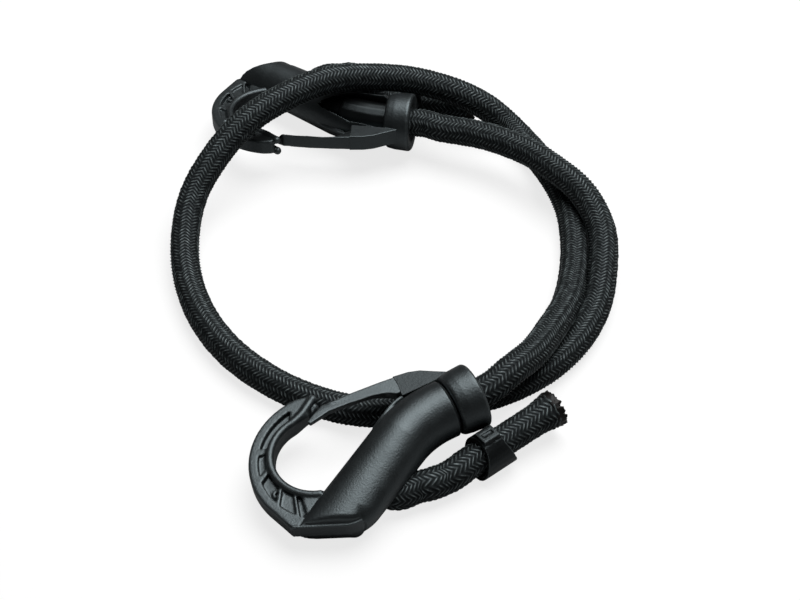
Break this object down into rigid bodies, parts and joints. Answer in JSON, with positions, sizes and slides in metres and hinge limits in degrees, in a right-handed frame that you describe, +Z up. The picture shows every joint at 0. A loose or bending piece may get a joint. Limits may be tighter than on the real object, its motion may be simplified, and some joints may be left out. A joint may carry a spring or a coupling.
{
  "type": "bungee cord",
  "caption": "Black braided elastic cord laid in a loop, with a gated plastic hook at each end and short adjusting tails held by sliding keepers.",
  "frame": {"origin": "bottom centre of the box round the two hooks and keepers, on the surface that they lie on", "axes": "+Z up, +Y from the near hook to the far hook, +X to the right as seen from the near hook"},
  "size_m": [0.1585, 0.2275, 0.0344],
  "materials": {
    "hook_plastic": "satin black moulded nylon with a fine grain",
    "sleeve_plastic": "smooth black liner",
    "braid": "tight woven black braid",
    "core_rubber": "natural rubber strands",
    "fused_end": "heat-fused braid"
  },
  "bodies": {
    "cord_and_hooks": {"near_hook_body": "hook_plastic", "near_collar": "hook_plastic", "near_neck_sleeve": "sleeve_plastic", "near_cord_held_jacket": "braid", "near_cord_held_core": "core_rubber", "near_cord_tail_jacket": "braid", "near_cord_tail_core": "core_rubber", "near_fused_end": "fused_end", "far_hook_body": "hook_plastic", "far_collar": "hook_plastic", "far_neck_sleeve": "sleeve_plastic", "far_cord_held_jacket": "braid", "far_cord_held_core": "core_rubber", "far_cord_tail_jacket": "braid", "far_cord_tail_core": "core_rubber", "far_fused_end": "fused_end", "cord_main_jacket": "braid", "cord_main_core": "core_rubber"},
    "near_gate": {"near_gate": "hook_plastic"},
    "near_keeper": {"near_tail_keeper": "hook_plastic"},
    "far_gate": {"far_gate": "hook_plastic"},
    "far_keeper": {"far_tail_keeper": "hook_plastic"}
  },
  "joints": [
    {"name": "near_gate_hinge", "type": "hinge", "parent": "cord_and_hooks", "child": "near_gate", "pos_m": [0.01708, -0.06107, 0.01719], "axis": [-0.0824, -0.1256, 0.9887], "range_deg": [0, 24], "stiffness_Nm_per_rad": 0.35},
    {"name": "near_keeper_slide", "type": "slide", "parent": "cord_and_hooks", "child": "near_keeper", "axis": [0.7933, 0.6057, 0.0612], "range_m": [0, 0.012]},
    {"name": "far_gate_hinge", "type": "hinge", "parent": "cord_and_hooks", "child": "far_gate", "pos_m": [-0.00021, 0.06584, 0.01505], "axis": [0.0224, -0.123, -0.9921], "range_deg": [0, 24], "stiffness_Nm_per_rad": 0.35},
    {"name": "far_keeper_slide", "type": "slide", "parent": "cord_and_hooks", "child": "far_keeper", "axis": [1, 0, 0], "range_m": [0, 0.012]}
  ]
}
